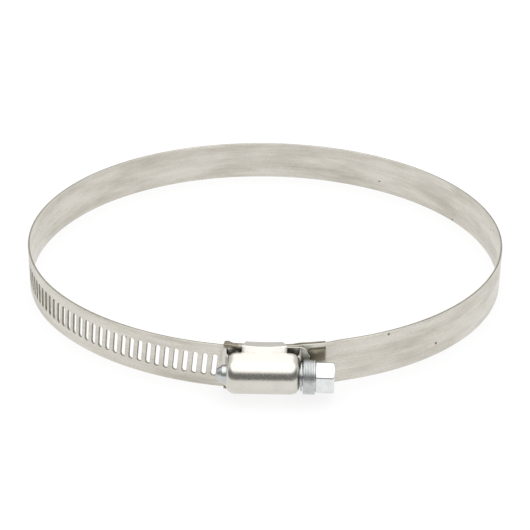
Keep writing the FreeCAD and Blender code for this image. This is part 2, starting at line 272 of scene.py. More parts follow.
class ClampColours(bpy.types.PropertyGroup):
    """Colours of the clamp's finishes and of the floor"""
    band: colour("Band", "Rolled stainless strip", "#D8D4CB")
    band_stain: colour("Band stain", "Dull patches on the strip", "#C2BDB2")
    band_edge: colour("Band edge", "Sheared edges of the strip", "#A19C8E")
    pit: colour("Pit", "Small pits and specks of dirt in the strip", "#6A6455")
    housing: colour("Housing", "Bright drawn stainless sheet", "#D6D3CB")
    # darker and browner than the steel: partly the pressed sheet's dull tint, partly painted shade for the
    # saddle's shaded ears and tabs
    saddle: colour("Saddle", "Dull pressed stainless sheet", "#989080")
    zinc: colour("Zinc", "Bright zinc plating", "#E5E8E7")
    zinc_dull: colour("Dull zinc", "Zinc plating over turning marks", "#CACECD")
    floor: colour("Floor", "Floor, before its glow from below makes it white", "#707070")


def sizes():
    """The sizes that the operators build with."""
    return bpy.context.scene.clamp_sizes


def colours():
    """The colours that the materials are made with."""
    return bpy.context.scene.clamp_colours


# ---- materials ----

def add_node(tree, kind, settings=None, inputs=None):
    """Adds a node: settings are its attributes, inputs are values for its sockets or sockets to link
    to them."""
    node = tree.nodes.new(kind)
    for key, value in (settings or {}).items():
        setattr(node, key, value)
    for key, value in (inputs or {}).items():
        if isinstance(value, bpy.types.NodeSocket):
            tree.links.new(value, node.inputs[key])
        else:
            node.inputs[key].default_value = value
    return node


def opaque(rgb):
    """A colour with its alpha."""
    return (*rgb, 1)


def new_metal(name):
    """Material with a metal's shader."""
    material = bpy.data.materials.new(name)
    material.use_nodes = True
    tree = material.node_tree
    tree.nodes.clear()
    shader = add_node(tree, "ShaderNodeBsdfPrincipled", inputs={"Metallic": 1.0})
    add_node(tree, "ShaderNodeOutputMaterial", inputs={"Surface": shader.outputs["BSDF"]})
    return material, tree, shader


def strip_coordinates(tree, stretch):
    """Place on the flat strip in metres, squeezed along its length so that marks come out stretched
    that many times."""
    lengths = add_node(tree, "ShaderNodeUVMap", {"uv_map": "lengths"})
    return add_node(tree, "ShaderNodeMapping",
                    inputs={"Vector": lengths.outputs["UV"], "Scale": (1 / stretch, 1, 1)})


def rolled_stainless():
    """Rolled stainless strip: satin and warm grey, with faint lines along the rolling direction,
    dull patches of handling stain and a few small pits."""
    material, tree, shader = new_metal("rolled_stainless_strip")
    # Real rolling lines and grain are under 0.05 mm, too fine to show, so both are drawn coarser.
    line_width = 0.45 * MM
    grain_size = 0.45 * MM
    patch_size = 6 * MM
    pit_spacing = 3.4 * MM
    lines = add_node(tree, "ShaderNodeTexNoise", inputs={
        "Vector": strip_coordinates(tree, 60).outputs["Vector"], "Scale": 1 / line_width, "Detail": 3.0})
    patches = add_node(tree, "ShaderNodeTexNoise", inputs={
        "Vector": strip_coordinates(tree, 5).outputs["Vector"], "Scale": 1 / patch_size,
        "Detail": 7.0, "Roughness": 0.66})
    pits = add_node(tree, "ShaderNodeTexVoronoi", inputs={
        "Vector": strip_coordinates(tree, 1).outputs["Vector"], "Scale": 1 / pit_spacing})
    stain = add_node(tree, "ShaderNodeMapRange", inputs={
        "Value": patches.outputs["Fac"], "From Min": 0.42, "From Max": 0.66})
    pit_chance = add_node(tree, "ShaderNodeSeparateColor", inputs={"Color": pits.outputs["Color"]})
    pit_size = add_node(tree, "ShaderNodeMapRange", inputs={
        "Value": pit_chance.outputs["Red"], "From Min": 0.6, "From Max": 1.0,
        "To Min": 0.0, "To Max": 0.12})
    pit = add_node(tree, "ShaderNodeMath", {"operation": "LESS_THAN"}, inputs={
        0: pits.outputs["Distance"], 1: pit_size.outputs["Result"]})
    stained = add_node(tree, "ShaderNodeMix", {"data_type": "RGBA"}, inputs={
        0: stain.outputs["Result"], 6: opaque(colours().band), 7: opaque(colours().band_stain)})
    grain = add_node(tree, "ShaderNodeTexNoise", inputs={
        "Vector": strip_coordinates(tree, 1.6).outputs["Vector"], "Scale": 1 / grain_size, "Detail": 3.0})
    line_sum = add_node(tree, "ShaderNodeMath", {"operation": "ADD"}, inputs={
        0: lines.outputs["Fac"], 1: grain.outputs["Fac"]})
    line_tint = add_node(tree, "ShaderNodeMapRange", inputs={
        "Value": line_sum.outputs["Value"], "From Min": 0.7, "From Max": 1.3,
        "To Min": 0.88, "To Max": 1.06})
    lined = add_node(tree, "ShaderNodeMix", {"data_type": "RGBA", "blend_type": "MULTIPLY"}, inputs={
        0: 1.0, 6: stained.outputs[2], 7: line_tint.outputs["Result"]})
    pitted = add_node(tree, "ShaderNodeMix", {"data_type": "RGBA"}, inputs={
        0: pit.outputs["Value"], 6: lined.outputs[2], 7: opaque(colours().pit)})
    roughness = add_node(tree, "ShaderNodeMapRange", inputs={
        "Value": patches.outputs["Fac"], "From Min": 0.35, "From Max": 0.7, "To Min": 0.3, "To Max": 0.42})
    bump = add_node(tree, "ShaderNodeBump", inputs={
        "Height": lines.outputs["Fac"], "Strength": 0.12, "Distance": 0.02 * MM})
    tree.links.new(pitted.outputs[2], shader.inputs["Base Color"])
    tree.links.new(roughness.outputs["Result"], shader.inputs["Roughness"])
    tree.links.new(bump.outputs["Normal"], shader.inputs["Normal"])
    return material


def sheared_edge():
    """Sheared edge of the strip: torn rough by the slitter and the punch, so it looks darker than
    the faces."""
    return clouded_metal("sheared_strip_edge", colours().band_edge, 0.75, 0.45, 0.15 * MM, 2 * MM)


def clouded_metal(name, rgb, darker, roughness, grain, patch):
    """Metal of one colour that clouds darker in patches, with a grain in its gloss.
    The grain of the real surfaces is under 0.1 mm, too fine to show, so it is drawn coarser."""
    material, tree, shader = new_metal(name)
    place = add_node(tree, "ShaderNodeTexCoord")
    clouds = add_node(tree, "ShaderNodeTexNoise", inputs={
        "Vector": place.outputs["Object"], "Scale": 1 / patch, "Detail": 5.0, "Roughness": 0.6})
    fine = add_node(tree, "ShaderNodeTexNoise", inputs={
        "Vector": place.outputs["Object"], "Scale": 1 / grain, "Detail": 2.0})
    tone = add_node(tree, "ShaderNodeMapRange", inputs={
        "Value": clouds.outputs["Fac"], "From Min": 0.4, "From Max": 0.7})
    tint = add_node(tree, "ShaderNodeMix", {"data_type": "RGBA"}, inputs={
        0: tone.outputs["Result"], 6: opaque(rgb), 7: opaque([c * darker for c in rgb])})
    gloss = add_node(tree, "ShaderNodeMapRange", inputs={
        "Value": fine.outputs["Fac"], "From Min": 0.3, "From Max": 0.7,
        "To Min": roughness * 0.85, "To Max": roughness * 1.2})
    bump = add_node(tree, "ShaderNodeBump", inputs={
        "Height": fine.outputs["Fac"], "Strength": 0.1, "Distance": 0.02 * MM})
    tree.links.new(tint.outputs[2], shader.inputs["Base Color"])
    tree.links.new(gloss.outputs["Result"], shader.inputs["Roughness"])
    tree.links.new(bump.outputs["Normal"], shader.inputs["Normal"])
    return material


def drawn_stainless():
    """Deep-drawn stainless sheet: smooth and bright, with the slightest orange peel from the drawing."""
    return clouded_metal("drawn_stainless_sheet", colours().housing, 0.93, 0.24, 0.5 * MM, 4 * MM)


def pressed_sheet_and_painted_shade():
    """Pressed stainless sheet, left as it came from the press: dull, a little brown, and darker as painted
    shade.
    """
    return clouded_metal("pressed_sheet_with_painted_shade", colours().saddle, 0.8, 0.34, 0.4 * MM, 2.5 * MM)


def turned_zinc():
    """Bright zinc plating over turning marks: greyer and less sharp than on the cold-headed hexagon."""
    return clouded_metal("zinc_plating_over_turning", colours().zinc_dull, 0.85, 0.33, 0.3 * MM, 1.2 * MM)


def zinc_plate():
    """Bright zinc plating over a cold-headed hexagon: cool and white, with a fine sparkle and duller
    clouds."""
    return clouded_metal("bright_zinc_plating", colours().zinc, 0.86, 0.27, 0.35 * MM, 1.6 * MM)


# ---- mesh helpers ----

def at(radius, degrees, z=0.0):
    """Point at a radius and angle about the ring's axis."""
    turn = math.radians(degrees)
    return Vector((radius * math.cos(turn), radius * math.sin(turn), z))


def smooth_step(value):
    """Eases from 0 to 1."""
    value = min(max(value, 0.0), 1.0)
    return value * value * (3 - 2 * value)


def spread(start, end, count):
    """Evenly spaced values from start to end, both included."""
    return [start + (end - start) * k / (count - 1) for k in range(count)]


def rounded(corners, radius, steps=6):
    """Path through the corners, in two dimensions, with an arc of a radius at each inner corner."""
    corners = [Vector(corner) for corner in corners]
    path = [corners[0]]
    for before, corner, after in zip(corners, corners[1:], corners[2:]):
        back = (before - corner).normalized()
        ahead = (after - corner).normalized()
        half = back.angle(ahead) / 2
        centre = corner + (back + ahead).normalized() * (radius / math.sin(half))
        first = corner + back * (radius / math.tan(half)) - centre
        last = corner + ahead * (radius / math.tan(half)) - centre
        whole = first.angle(last)
        for k in range(steps + 1):
            share = k / steps
            arc = first * math.sin((1 - share) * whole) + last * math.sin(share * whole)
            path.append(centre + arc / math.sin(whole))
    path.append(corners[-1])
    return path


def new_piece(name, points, faces, material):
    """Object made of points and faces, in the scene."""
    mesh = bpy.data.meshes.new(name)
    mesh.from_pydata([tuple(point) for point in points], [], faces)
    mesh.materials.append(material)
    piece = bpy.data.objects.new(name, mesh)
    bpy.context.scene.collection.objects.link(piece)
    return piece


def weld(piece, distance=1e-6):
    """Merges points that lie together and turns all faces outwards."""
    shape = bmesh.new()
    shape.from_mesh(piece.data)
    bmesh.ops.remove_doubles(shape, verts=shape.verts, dist=distance)
    bmesh.ops.dissolve_degenerate(shape, edges=shape.edges, dist=distance)
    bmesh.ops.recalc_face_normals(shape, faces=shape.faces)
    shape.to_mesh(piece.data)
    shape.free()


def apply_modifiers(piece):
    """Makes the modified mesh the piece's own."""
    evaluated = piece.evaluated_get(bpy.context.evaluated_depsgraph_get())
    mesh = bpy.data.meshes.new_from_object(evaluated)
    piece.modifiers.clear()
    piece.data = mesh


def shade(piece, sharp_from):
    """Smooth shading, with edges sharper than an angle kept."""
    piece.data.shade_smooth()
    piece.data.set_sharp_from_angle(angle=math.radians(sharp_from))


def thicken(piece, thickness, edge, even=True):
    """Turns a middle surface into sheet metal with softened edges.
    Even keeps the thickness exact at sharp bends, but draws spikes where three faces meet steeply."""
    weld(piece)
    sheet = piece.modifiers.new("sheet", "SOLIDIFY")
    sheet.thickness = thickness
    sheet.offset = 0
    sheet.use_even_offset = even
    soft = piece.modifiers.new("edges", "BEVEL")
    soft.width = edge
    soft.segments = 2
    soft.limit_method = "ANGLE"
    soft.angle_limit = math.radians(50)
    apply_modifiers(piece)
    shade(piece, 40)


def grid(points, faces, rows):
    """Adds a surface through rows of points, all of the same length."""
    first = len(points)
    width = len(rows[0])
    for row in rows:
        points.extend(row)
    for r in range(len(rows) - 1):
        for c in range(width - 1):
            corner = first + r * width + c
            faces.append((corner, corner + 1, corner + width + 1, corner + width))


# ---- band ----

def band_inner_radius(degrees):
    """Inner face of the loop: a circle that eases out to the tail's radius."""
    share = smooth_step((degrees - SPIRAL_START) / (SPLICE - SPIRAL_START))
    return RING_RADIUS + (TAIL_RADIUS - RING_RADIUS) * share


def fixed_end_radius(degrees):
    """Inner face of the held end, which steps down twice: with the saddle, and past it onto the circle
    of the loop."""
    high = TAIL_RADIUS - sizes().band_thickness - GAP
    clinched = high - sizes().saddle_sheet
    radius = high + (clinched - high) * smooth_step((degrees - FIXED_STEP_DOWN) / FIXED_DOWN_LENGTH)
    return radius + (RING_RADIUS - clinched) * smooth_step((degrees - FIXED_STEP_OUT) / FIXED_OUT_LENGTH)


def full_width(degrees):
    """Half the band's width, the same everywhere but at the tail's tip."""
    return BAND_WIDTH / 2


def tail_width(degrees):
    """Half the tail's width: full but for the two rounded corners of its tip."""
    left = math.radians(TAIL_END - degrees) * TAIL_RADIUS
    corner = sizes().tip_corner
    if left >= corner:
        return BAND_WIDTH / 2
    return BAND_WIDTH / 2 - corner + math.sqrt(corner ** 2 - (corner - left) ** 2)


def slot_outline(grow):
    """Slanted slot with round ends, as (length, height) offsets from its middle."""
    half = sizes().slot_width / 2
    straight = sizes().slot_length / 2 - half
    lean = Matrix.Rotation(-sizes().slot_slant, 2)
    outline = []
    for middle, start in ((straight, 0), (-straight, 180)):
        for k in range(SLOT_END_STEPS + 1):
            turn = math.radians(start + 180 * k / SLOT_END_STEPS)
            point = Vector(((half + grow) * math.cos(turn), middle + (half + grow) * math.sin(turn)))
            outline.append(lean @ point)
    return outline


def band_piece(name, start, end, slots=(), radius=band_inner_radius, half_width=full_width):
    """A closed stretch of the band. Slots are the angles of the slots' middles."""
    thick = sizes().band_thickness
    edge = sizes().band_edge
    rim = sizes().slot_edge
    straight = sizes().slot_length / 2 - sizes().slot_width / 2
    shoulder = (straight + BAND_WIDTH / 2) / 2
    half_step = SLOT_STEP / 2
    stations = {round(start, 6), round(end, 6)}
    for slot in slots:
        stations |= {round(slot - half_step, 6), round(slot + half_step, 6)}
    slotted = {round(slot - half_step, 6) for slot in slots}
    ends = sorted(stations)
    for low, high in zip(ends, ends[1:]):
        if low not in slotted:
            count = math.ceil((high - low) / PLAIN_STEP) + 1
            stations |= {round(s, 6) for s in spread(low, high, count)}
    stations = sorted(stations)

    places = []      # (angle, height, depth from the inner face)
    faces = []
    leans = []       # how much a face's normal points outwards and upwards; None leaves the face's own
    sheared = []     # whether a face is a cut edge of the strip

    def add_face(corners, lean=None, cut=False):
        faces.append(corners)
        leans.append(lean)
        sheared.append(cut)

    # A column has 16 points: 0 to 5 up the outer face, 6 and 7 on the upper edge, 8 to 13 down the
    # inner face, 14 and 15 on the lower edge.
    def add_column(degrees):
        half = half_width(degrees)
        scale = half / (BAND_WIDTH / 2)
        rows = [-half + edge, -shoulder * scale, -straight * scale, straight * scale, shoulder * scale,
                half - edge]
        first = len(places)
        places.extend((degrees, z, thick) for z in rows)
        places.extend([(degrees, half, thick - edge), (degrees, half, edge)])
        places.extend((degrees, z, 0) for z in reversed(rows))
        places.extend([(degrees, -half, edge), (degrees, -half, thick - edge)])
        return list(range(first, first + 16))

    edge_leans = {5: (1, 1), 6: (0, 1), 7: (-1, 1), 13: (-1, -1), 14: (0, -1), 15: (1, -1)}

    def join(left, right, sides):
        for k in sides:
            n = (k + 1) % 16
            lean = edge_leans.get(k, (1, 0) if k < 5 else (-1, 0))
            add_face((left[k], right[k], right[n], left[n]), lean, k in (6, 14))

    def add_slot(middle, left, right):
        loops = []
        for grow, depth in ((rim, thick), (0, thick - rim), (0, rim), (rim, 0)):
            first = len(places)
            reach = band_inner_radius(middle) + thick / 2
            for x, z in slot_outline(grow):
                places.append((middle + math.degrees(x / reach), z, depth))
            loops.append(list(range(first, len(places))))
        count = len(loops[0])
        for upper, lower in zip(loops, loops[1:]):
            for k in range(count):
                n = (k + 1) % count
                add_face((upper[n], upper[k], lower[k], lower[n]), cut=True)
        half = SLOT_END_STEPS // 2
        for ring, near, far, lean in ((loops[0], left, right, (1, 0)), (loops[3], left, right, (-1, 0))):
            rows = list(range(6)) if lean[0] > 0 else list(range(13, 7, -1))
            near = [near[k] for k in rows]
            far = [far[k] for k in rows]
            flat = []
            for sign, arc in ((1, ring[:SLOT_END_STEPS + 1]), (-1, ring[SLOT_END_STEPS + 1:])):
                one, other = (far, near) if sign > 0 else (near[::-1], far[::-1])
                flat += [(one[3], one[4], arc[1], arc[0]), (one[4], one[5], arc[2], arc[1])]
                flat += [(one[5], arc[k + 1], arc[k]) for k in range(2, half)]
                flat += [(one[5], other[5], arc[half])]
                flat += [(other[5], arc[k + 1], arc[k]) for k in range(half, SLOT_END_STEPS - 2)]
                flat += [(other[5], other[4], arc[-2], arc[-3]), (other[4], other[3], arc[-1], arc[-2])]
                flat += [(one[2], one[3], arc[0], ring[-1] if sign > 0 else ring[SLOT_END_STEPS])]
            for face in flat:
                add_face(face if lean[0] > 0 else face[::-1], lean)
        join(left, right, (5, 6, 7, 13, 14, 15))

    columns = [add_column(s) for s in stations]
    middles = {round(slot - half_step, 6): slot for slot in slots}
    for k in range(len(stations) - 1):
        if stations[k] in middles:
            add_slot(middles[stations[k]], columns[k], columns[k + 1])
        else:
            join(columns[k], columns[k + 1], range(16))
    add_face(tuple(columns[0]))
    add_face(tuple(reversed(columns[-1])))

    points = [at(radius(degrees) + depth, degrees, z) for degrees, z, depth in places]
    piece = new_piece(name, points, faces, bpy.data.materials["rolled_stainless_strip"])
    mesh = piece.data
    mesh.materials.append(bpy.data.materials["sheared_strip_edge"])
    mesh.shade_smooth()
    mesh.polygons.foreach_set("material_index", [int(cut) for cut in sheared])
    lengths = mesh.uv_layers.new(name="lengths")
    normals = []
    for polygon, lean in zip(mesh.polygons, leans):
        for index in polygon.loop_indices:
            degrees, z, _ = places[mesh.loops[index].vertex_index]
            lengths.data[index].uv = (math.radians(degrees) * RING_RADIUS, z)
            if lean is None:
                normals.append(polygon.normal.copy())
            else:
                rise = radius(degrees + 0.1) - radius(degrees - 0.1)
                slope = rise / (radius(degrees) * math.radians(0.2))
                outwards = at(1, degrees - math.degrees(slope))
                normals.append((outwards * lean[0] + Vector((0, 0, lean[1]))).normalized())
    mesh.normals_split_custom_set(normals)
    return piece


def middle_of_link(number):
    """Angle of the middle of a link, counted from 1; in the slotted stretch, between two slots."""
    middle = LINKS_START + (number - 0.5) * LINK_STEP
    first_slot = BOTTOM - (sizes().slots_left + 0.5) * SLOT_STEP
    if middle > first_slot:
        return first_slot + round((middle - first_slot) / SLOT_STEP) * SLOT_STEP
    return middle


def slots_between(start, end):
    """Angles of the slots that lie whole between two angles."""
    slots = [BOTTOM + k * SLOT_STEP for k in range(-sizes().slots_left, sizes().slots_right + 1)]
    return [slot for slot in slots if start < slot < end]


def bend(piece, start, end, radius=band_inner_radius):
    """Bakes the piece's place into its mesh; the points at its two ends are worked out, but nothing uses
    them.
    """
    at(radius(start), start)
    at(radius(end), end)
    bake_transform(piece)


# ---- housing ----

def bulge(x):
    """Share of the swell over a wrapped tab at a place along the screw: 0 at its ends, 1 in its middle."""
    share = (x - TAB_MIDDLE) / (sizes().tab_length / 2)
    return max(0, 1 - share ** 2)


def housing_section(inset, edge_y):
    """Middle surface of the housing across the screw, as (height, y) points over the crown from edge
    to edge. Inset draws it in, as at the rounded ends."""
    crown = SCREW_POINT.y - HOUSING_CROWN - sizes().housing_sheet / 2 - inset
    lean = sizes().housing_lean
    arch = []
    for turn in spread(lean, math.pi - lean, 33):
        arch.append((crown * math.cos(turn), SCREW_POINT.y - crown * math.sin(turn)))
    top_z, top_y = arch[0]
    wall = []
    for y in spread(edge_y, top_y, 5)[:-1]:
        wall.append((top_z + (y - top_y) * math.tan(lean), y))
    return wall + arch + [(-z, y) for z, y in reversed(wall)]


def housing_stations():
    """Places along the screw, each with how far the section is drawn in there."""
    sheet = sizes().housing_sheet
    left = HOUSING_START + sheet / 2
    right = HOUSING_END - sheet / 2
    run = sizes().housing_end
    turns = spread(0, math.pi / 2, 9)
    start = [(left + run * (1 - math.cos(t)), END_DRAW * (1 - math.sin(t))) for t in turns]
    end = [(right - run * (1 - math.cos(t)), END_DRAW * (1 - math.sin(t))) for t in reversed(turns)]
    tab = tab_stations()
    before = [(x, 0) for x in spread(start[-1][0], tab[0], 4)[1:-1]]
    after = [(x, 0) for x in spread(tab[-1], end[0][0], 4)[1:-1]]
    return start + before + [(x, 0) for x in tab] + after + end


def tab_stations():
    """Places along the screw where the wrapped tabs stand."""
    return spread(TAB_MIDDLE - sizes().tab_length / 2, TAB_MIDDLE + sizes().tab_length / 2, 13)


def housing_tab_rows(side):
    """Rows of a wrapped tab: out from the housing's edge, down the band's edge and in under the saddle."""
    sheet = sizes().housing_sheet
    wall = BAND_WIDTH / 2 + TAB_CLEARANCE + sheet / 2
    rows = []
    for x in tab_stations():
        edge_z, edge_y = housing_section(0, edge_place(x))[0]
        shoulder_y = TAB_SHOULDER - TAB_SWELL * bulge(x)
        fold_y = -math.sqrt((RING_RADIUS + sheet / 2) ** 2 - x ** 2)
        crease_z = edge_z + TAB_CREASE * math.tan(sizes().housing_lean)
        corners = [(edge_z, edge_y), (crease_z, edge_y + TAB_CREASE)]
        corners += [(wall, shoulder_y), (wall, fold_y), (sizes().tab_reach, fold_y)]
        path = rounded(corners, TAB_BEND)
        taper_from = shoulder_y + TAPER_MARGIN
        taper_to = fold_y - TAPER_MARGIN
        row = []
        for z, y in path:
            down = min(max((y - taper_from) / (taper_to - taper_from), 0), 1)
            kept = 1 - (1 - sizes().tab_taper) * down
            row.append(Vector((TAB_MIDDLE + (x - TAB_MIDDLE) * kept, y, side * z)))
        rows.append(row)
    return rows


def edge_place(x):
    """Where the housing's long edge lies, towards the band, at a place along the screw."""
    return HOUSING_EDGE - EDGE_SWELL * bulge(x)


def end_wall(points, faces, x, hole):
    """Flat end of the housing with the round hole for the screw."""
    section = housing_section(END_DRAW, HOUSING_EDGE)
    foot_z, foot_y = section[-1]
    outline = section + [(z, foot_y) for z in spread(foot_z, -foot_z, 21)[1:-1]]
    along = (x - SCREW_POINT.x) / TOWARDS_HEAD.x
    centre = SCREW_POINT + TOWARDS_HEAD * along
    middle = Vector((centre.z, centre.y))
    loops = []
    for share in (0, 0.5, 1):
        loop = []
        for z, y in outline:
            place = Vector((z, y))
            rim = middle + (place - middle).normalized() * hole
            z, y = place.lerp(rim, share)
            loop.append(Vector((x, y, z)))
        loops.append(loop + loop[:1])
    grid(points, faces, loops)


def end_flange(points, faces, x, reach):
    """Foot of an end wall, turned out along the band; a reach below zero turns it to the left."""
    foot_z, foot_y = housing_section(END_DRAW, HOUSING_EDGE)[0]
    spacing = TAIL_RADIUS + sizes().band_thickness + GAP + sizes().housing_sheet / 2
    rows = []
    for curve in spread(0, math.pi / 2, 8):
        row = []
        for share in spread(-1, 1, 21):
            kept = FLANGE_CORNER + (1 - FLANGE_CORNER) * (1 - abs(share) ** 3) ** 0.6
            out = reach * kept * (1 - math.cos(curve))
            end_y = -math.sqrt(spacing ** 2 - (x + out) ** 2)
            z = share * (foot_z + (FLANGE_TOP - foot_z) * (1 - math.cos(curve)))
            row.append(Vector((x + out, foot_y + (end_y - foot_y) * math.sin(curve), z)))
        rows.append(row)
    grid(points, faces, rows)


def build_housing():
    """The drawn cover over the screw, its end walls and flanges, and the tabs wrapped round the band."""
    points = []
    faces = []
    stations = housing_stations()
    rows = []
    for x, inset in stations:
        rows.append([Vector((x, y, z)) for z, y in housing_section(inset, edge_place(x))])
    grid(points, faces, rows)
    end_wall(points, faces, stations[0][0], NOSE_HOLE)
    end_wall(points, faces, stations[-1][0], NECK_HOLE)
    end_flange(points, faces, stations[0][0], -NOSE_FLANGE)
    end_flange(points, faces, stations[-1][0], NECK_FLANGE)
    for side in (-1, 1):
        grid(points, faces, housing_tab_rows(side))
    piece = new_piece("housing", points, faces, drawn_stainless())
    thicken(piece, sizes().housing_sheet, HOUSING_SOFT_EDGE, even=False)
    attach(piece, "housing")
    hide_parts("housing_cover")


# ---- saddle ----

def saddle_radius(degrees):
    """Middle of the saddle's sheet: over the housing's folded tabs, then down onto the hose."""
    low = RING_RADIUS + sizes().saddle_sheet / 2
    high = TAIL_RADIUS - sizes().band_thickness - GAP - sizes().saddle_sheet / 2
    return high + (low - high) * smooth_step((degrees - SADDLE_STEP) / SADDLE_STEP_LENGTH)


def guiding_ear(points, faces, side):
    """Ear of the saddle: up along the tail's edge to a peak, then slanting down in front of the tail,
    with a narrow lip over the tail's face."""
    plate = saddle_radius(SADDLE_START)
    lip = TAIL_RADIUS + sizes().band_thickness + GAP + sizes().saddle_sheet / 2
    edge = BAND_WIDTH / 2
    wall = edge + EAR_CLEARANCE + sizes().saddle_sheet / 2
    upright = []
    top = []
    for x in EAR_PLACES:
        rise = min(1, (x - EAR_PLACES[0]) / (EAR_PEAK - EAR_PLACES[0]))
        fall = max(0, (x - EAR_PEAK) / (EAR_PLACES[-1] - EAR_PEAK))
        turn = math.degrees(math.asin(x / plate)) - 90
        height = wall + EAR_RISE * rise - EAR_FALL * fall ** 2
        if x <= EAR_PEAK:
            upright.append([at(plate, turn, side * z) for z in spread(edge, height, 4)])
        far = plate + (lip - plate - EAR_CURL - EAR_LIP_DEPTH) * fall
        row = [at(r, turn, side * height) for r in spread(far, lip - EAR_CURL, 6)]
        for curve in spread(0, math.pi / 2, 6)[1:]:
            radius = lip - EAR_CURL * (1 - math.sin(curve))
            row.append(at(radius, turn, side * (height - EAR_CURL * (1 - math.cos(curve)))))
        row.append(at(lip, turn, side * min(height - EAR_CURL, edge - EAR_LIP)))
        top.append(row)
    grid(points, faces, upright)
    grid(points, faces, top)


def build_saddle():
    """The plate under the screw, its two guiding ears and the two tabs folded over the held end."""
    sheet = sizes().saddle_sheet
    edge = BAND_WIDTH / 2
    ear_turns = [math.degrees(math.asin(x / saddle_radius(SADDLE_START))) - 90 for x in EAR_PLACES]
    tab_turns = spread(FOLD_TAB_START, FOLD_TAB_END, 7)
    stations = [SADDLE_START] + ear_turns + spread(ear_turns[-1] + 0.6, SADDLE_STEP, 8)
    stations += spread(SADDLE_STEP, SADDLE_STEP + SADDLE_STEP_LENGTH, 7)[1:]
    stations += [FOLD_TAB_APPROACH] + tab_turns + [SADDLE_END]
    fold_wall = FOLD_TAB_HEIGHT + sheet / 2
    heights = [-edge, -fold_wall, *spread(-0.6 * edge, 0.6 * edge, 5), fold_wall, edge]
    points = []
    faces = []
    grid(points, faces, [[at(saddle_radius(s), s, z) for z in heights] for s in stations])
    for side in (-1, 1):
        guiding_ear(points, faces, side)
        low = saddle_radius(SADDLE_END)
        top = TAIL_RADIUS - GAP - sheet / 2
        path = rounded([(low, fold_wall), (top, fold_wall), (top, FOLD_TAB_GAP)], FOLD_TAB_BEND)
        grid(points, faces, [[at(r, s, side * z) for r, z in path] for s in tab_turns])
    piece = new_piece("saddle_plate", points, faces, pressed_sheet_and_painted_shade())
    thicken(piece, sheet, SADDLE_SOFT_EDGE)
    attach(piece, "housing")
    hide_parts("saddle")


# ---- screw ----

def thread_height(turn, along):
    """Share of the thread's depth at an angle and a place along the screw."""
    pitch = sizes().thread_pitch
    from_crest = (along - THREAD_START - pitch * (turn - THREAD_PHASE) / 360) % pitch
    from_crest = min(from_crest, pitch - from_crest)
    return min(max((THREAD_ROOT - from_crest) / (THREAD_ROOT - THREAD_CREST), 0), 1)


def hexagon_row(along, limit):
    """Points of the hexagonal head round one place along the screw, nowhere further out than a limit."""
    half_flats = sizes().hexagon / 2
    corner = sizes().hexagon / math.sqrt(3)
    row = []
    for turn in screw_turns():
        from_corner = (turn - HEXAGON_CORNER + 30) % 60 - 30
        flat = half_flats / math.cos(math.radians(30 - abs(from_corner)))
        row.append((min(flat, limit, corner - HEXAGON_BLUNTING), along))
    return row


def screw_turns():
    """Angles about the screw of the points of every row."""
    return [360 * k / SCREW_SIDES for k in range(SCREW_SIDES)]


def turned_row(radius, along):
    """Points of a turned part of the screw, all at one radius."""
    return [(radius, along)] * SCREW_SIDES


def collar_profile():
    """Turned neck, stop ring and grooved collar, as (radius, place along the screw)."""
    inwards, along = STOP_RING_BEVEL
    bevelled = STOP_RING_RADIUS - inwards
    profile = [(NECK_RADIUS, THREAD_END), (NECK_RADIUS, STOP_RING_START), (bevelled, STOP_RING_START),
               (STOP_RING_RADIUS, STOP_RING_START + along), (STOP_RING_RADIUS, STOP_RING_END - along),
               (bevelled, STOP_RING_END), (NECK_RADIUS, STOP_RING_END), (NECK_RADIUS, COLLAR_START),
               (COLLAR_RADIUS - COLLAR_START_BEVEL, COLLAR_START),
               (COLLAR_RADIUS, COLLAR_START + COLLAR_START_BEVEL)]
    for groove in spread(*GROOVES):
        profile += [(COLLAR_RADIUS, groove - GROOVE_HALF_WIDTH), (COLLAR_RADIUS - GROOVE_DEPTH, groove),
                    (COLLAR_RADIUS, groove + GROOVE_HALF_WIDTH)]
    profile += [(COLLAR_RADIUS, COLLAR_END - COLLAR_END_BEVEL),
                (COLLAR_RADIUS - COLLAR_END_BEVEL, COLLAR_END)]
    return profile + [(UNDERCUT_RADIUS, COLLAR_END), (UNDERCUT_RADIUS, HEAD_START)]


